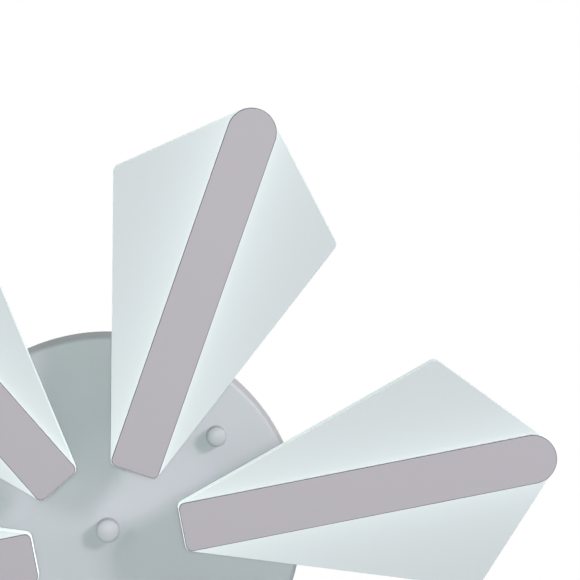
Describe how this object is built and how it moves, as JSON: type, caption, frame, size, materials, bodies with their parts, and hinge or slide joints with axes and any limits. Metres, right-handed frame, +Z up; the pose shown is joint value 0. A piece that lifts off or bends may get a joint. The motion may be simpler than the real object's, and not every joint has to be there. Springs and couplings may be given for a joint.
{
  "type": "ceiling light",
  "caption": "Ceiling light with kite-shaped opal wings, each along a flat grey bar, swivelling on stems round a shallow round canopy on a slotted ceiling bracket.",
  "frame": {"origin": "on the ceiling, at the centre of the canopy's rim and of the bracket's two ceiling slots", "axes": "+Z up, into the ceiling; +X along the ceiling bracket, from slot to slot; +Y across it, towards wing 2, and the terminal block is on that side"},
  "size_m": [0.6288, 0.72, 0.092],
  "materials": {
    "white_paint": "white powder coat, satin",
    "tray_paint": "white powder coat on sheet steel, satin",
    "bar_paint": "smooth matt grey paint",
    "opal_acrylic": "opal acrylic, satin, lit from inside",
    "light_strip": "white board with light-emitting packages",
    "zinc_steel": "bright zinc plate",
    "brass": "bright brass",
    "case_plastic": "moulded white case",
    "terminal_plastic": "moulded natural plastic",
    "lead_sheath": "white sheath",
    "earth_sheath": "green sheath with a yellow stripe"
  },
  "bodies": {
    "root": {"ceiling_bracket": "zinc_steel", "centre_stud": "zinc_steel", "side_studs": "zinc_steel", "stud_nuts": "zinc_steel", "canopy": "white_paint", "driver_1": "case_plastic", "driver_2": "case_plastic", "mount_nuts": "zinc_steel", "terminal_block": "terminal_plastic", "terminal_screws": "brass", "earth_lug": "zinc_steel", "earth_nut": "zinc_steel", "output_leads": "lead_sheath", "supply_leads": "lead_sheath", "earth_lead": "earth_sheath", "stem_nipples": "brass", "stem_top_nuts": "zinc_steel", "stem_bottom_nuts": "zinc_steel", "stem_sleeve_1": "white_paint", "stem_sleeve_2": "white_paint", "stem_sleeve_3": "white_paint", "stem_sleeve_4": "white_paint", "stem_sleeve_5": "white_paint", "stem_sleeve_6": "white_paint"},
    "wing_1": {"wing_1_tray": "tray_paint", "wing_1_light_strips": "light_strip", "wing_1_diffuser": "opal_acrylic", "wing_1_bar": "bar_paint", "wing_1_bar_screws": "zinc_steel"},
    "wing_2": {"wing_2_tray": "tray_paint", "wing_2_light_strips": "light_strip", "wing_2_diffuser": "opal_acrylic", "wing_2_bar": "bar_paint", "wing_2_bar_screws": "zinc_steel"},
    "wing_3": {"wing_3_tray": "tray_paint", "wing_3_light_strips": "light_strip", "wing_3_diffuser": "opal_acrylic", "wing_3_bar": "bar_paint", "wing_3_bar_screws": "zinc_steel"},
    "wing_4": {"wing_4_tray": "tray_paint", "wing_4_light_strips": "light_strip", "wing_4_diffuser": "opal_acrylic", "wing_4_bar": "bar_paint", "wing_4_bar_screws": "zinc_steel"},
    "wing_5": {"wing_5_tray": "tray_paint", "wing_5_light_strips": "light_strip", "wing_5_diffuser": "opal_acrylic", "wing_5_bar": "bar_paint", "wing_5_bar_screws": "zinc_steel"},
    "wing_6": {"wing_6_tray": "tray_paint", "wing_6_light_strips": "light_strip", "wing_6_diffuser": "opal_acrylic", "wing_6_bar": "bar_paint", "wing_6_bar_screws": "zinc_steel"},
    "centre_cap": {"centre_cap_nut": "white_paint"},
    "side_cap_1": {"side_cap_nut_1": "white_paint"},
    "side_cap_2": {"side_cap_nut_2": "white_paint"}
  },
  "joints": [
    {"name": "wing_1_swivel", "type": "hinge", "parent": "root", "child": "wing_1", "pos_m": [0.09526, 0.055, -0.0724], "axis": [0, 0, 1], "range_deg": [-15, 15]},
    {"name": "wing_2_swivel", "type": "hinge", "parent": "root", "child": "wing_2", "pos_m": [0, 0.11, -0.0724], "axis": [0, 0, 1], "range_deg": [-15, 15]},
    {"name": "wing_3_swivel", "type": "hinge", "parent": "root", "child": "wing_3", "pos_m": [-0.09526, 0.055, -0.0724], "axis": [0, 0, 1], "range_deg": [-15, 15]},
    {"name": "wing_4_swivel", "type": "hinge", "parent": "root", "child": "wing_4", "pos_m": [-0.09526, -0.055, -0.0724], "axis": [0, 0, 1], "range_deg": [-15, 15]},
    {"name": "wing_5_swivel", "type": "hinge", "parent": "root", "child": "wing_5", "pos_m": [0, -0.11, -0.0724], "axis": [0, 0, 1], "range_deg": [-15, 15]},
    {"name": "wing_6_swivel", "type": "hinge", "parent": "root", "child": "wing_6", "pos_m": [0.09526, -0.055, -0.0724], "axis": [0, 0, 1], "range_deg": [-15, 15]},
    {"name": "centre_cap_turn", "type": "hinge", "parent": "root", "child": "centre_cap", "pos_m": [0, 0, -0.025], "axis": [0, 0, 1], "continuous": true},
    {"name": "side_cap_1_turn", "type": "hinge", "parent": "root", "child": "side_cap_1", "pos_m": [0.1155, 0, -0.025], "axis": [0, 0, 1], "continuous": true},
    {"name": "side_cap_2_turn", "type": "hinge", "parent": "root", "child": "side_cap_2", "pos_m": [-0.1155, 0, -0.025], "axis": [0, 0, 1], "continuous": true}
  ]
}
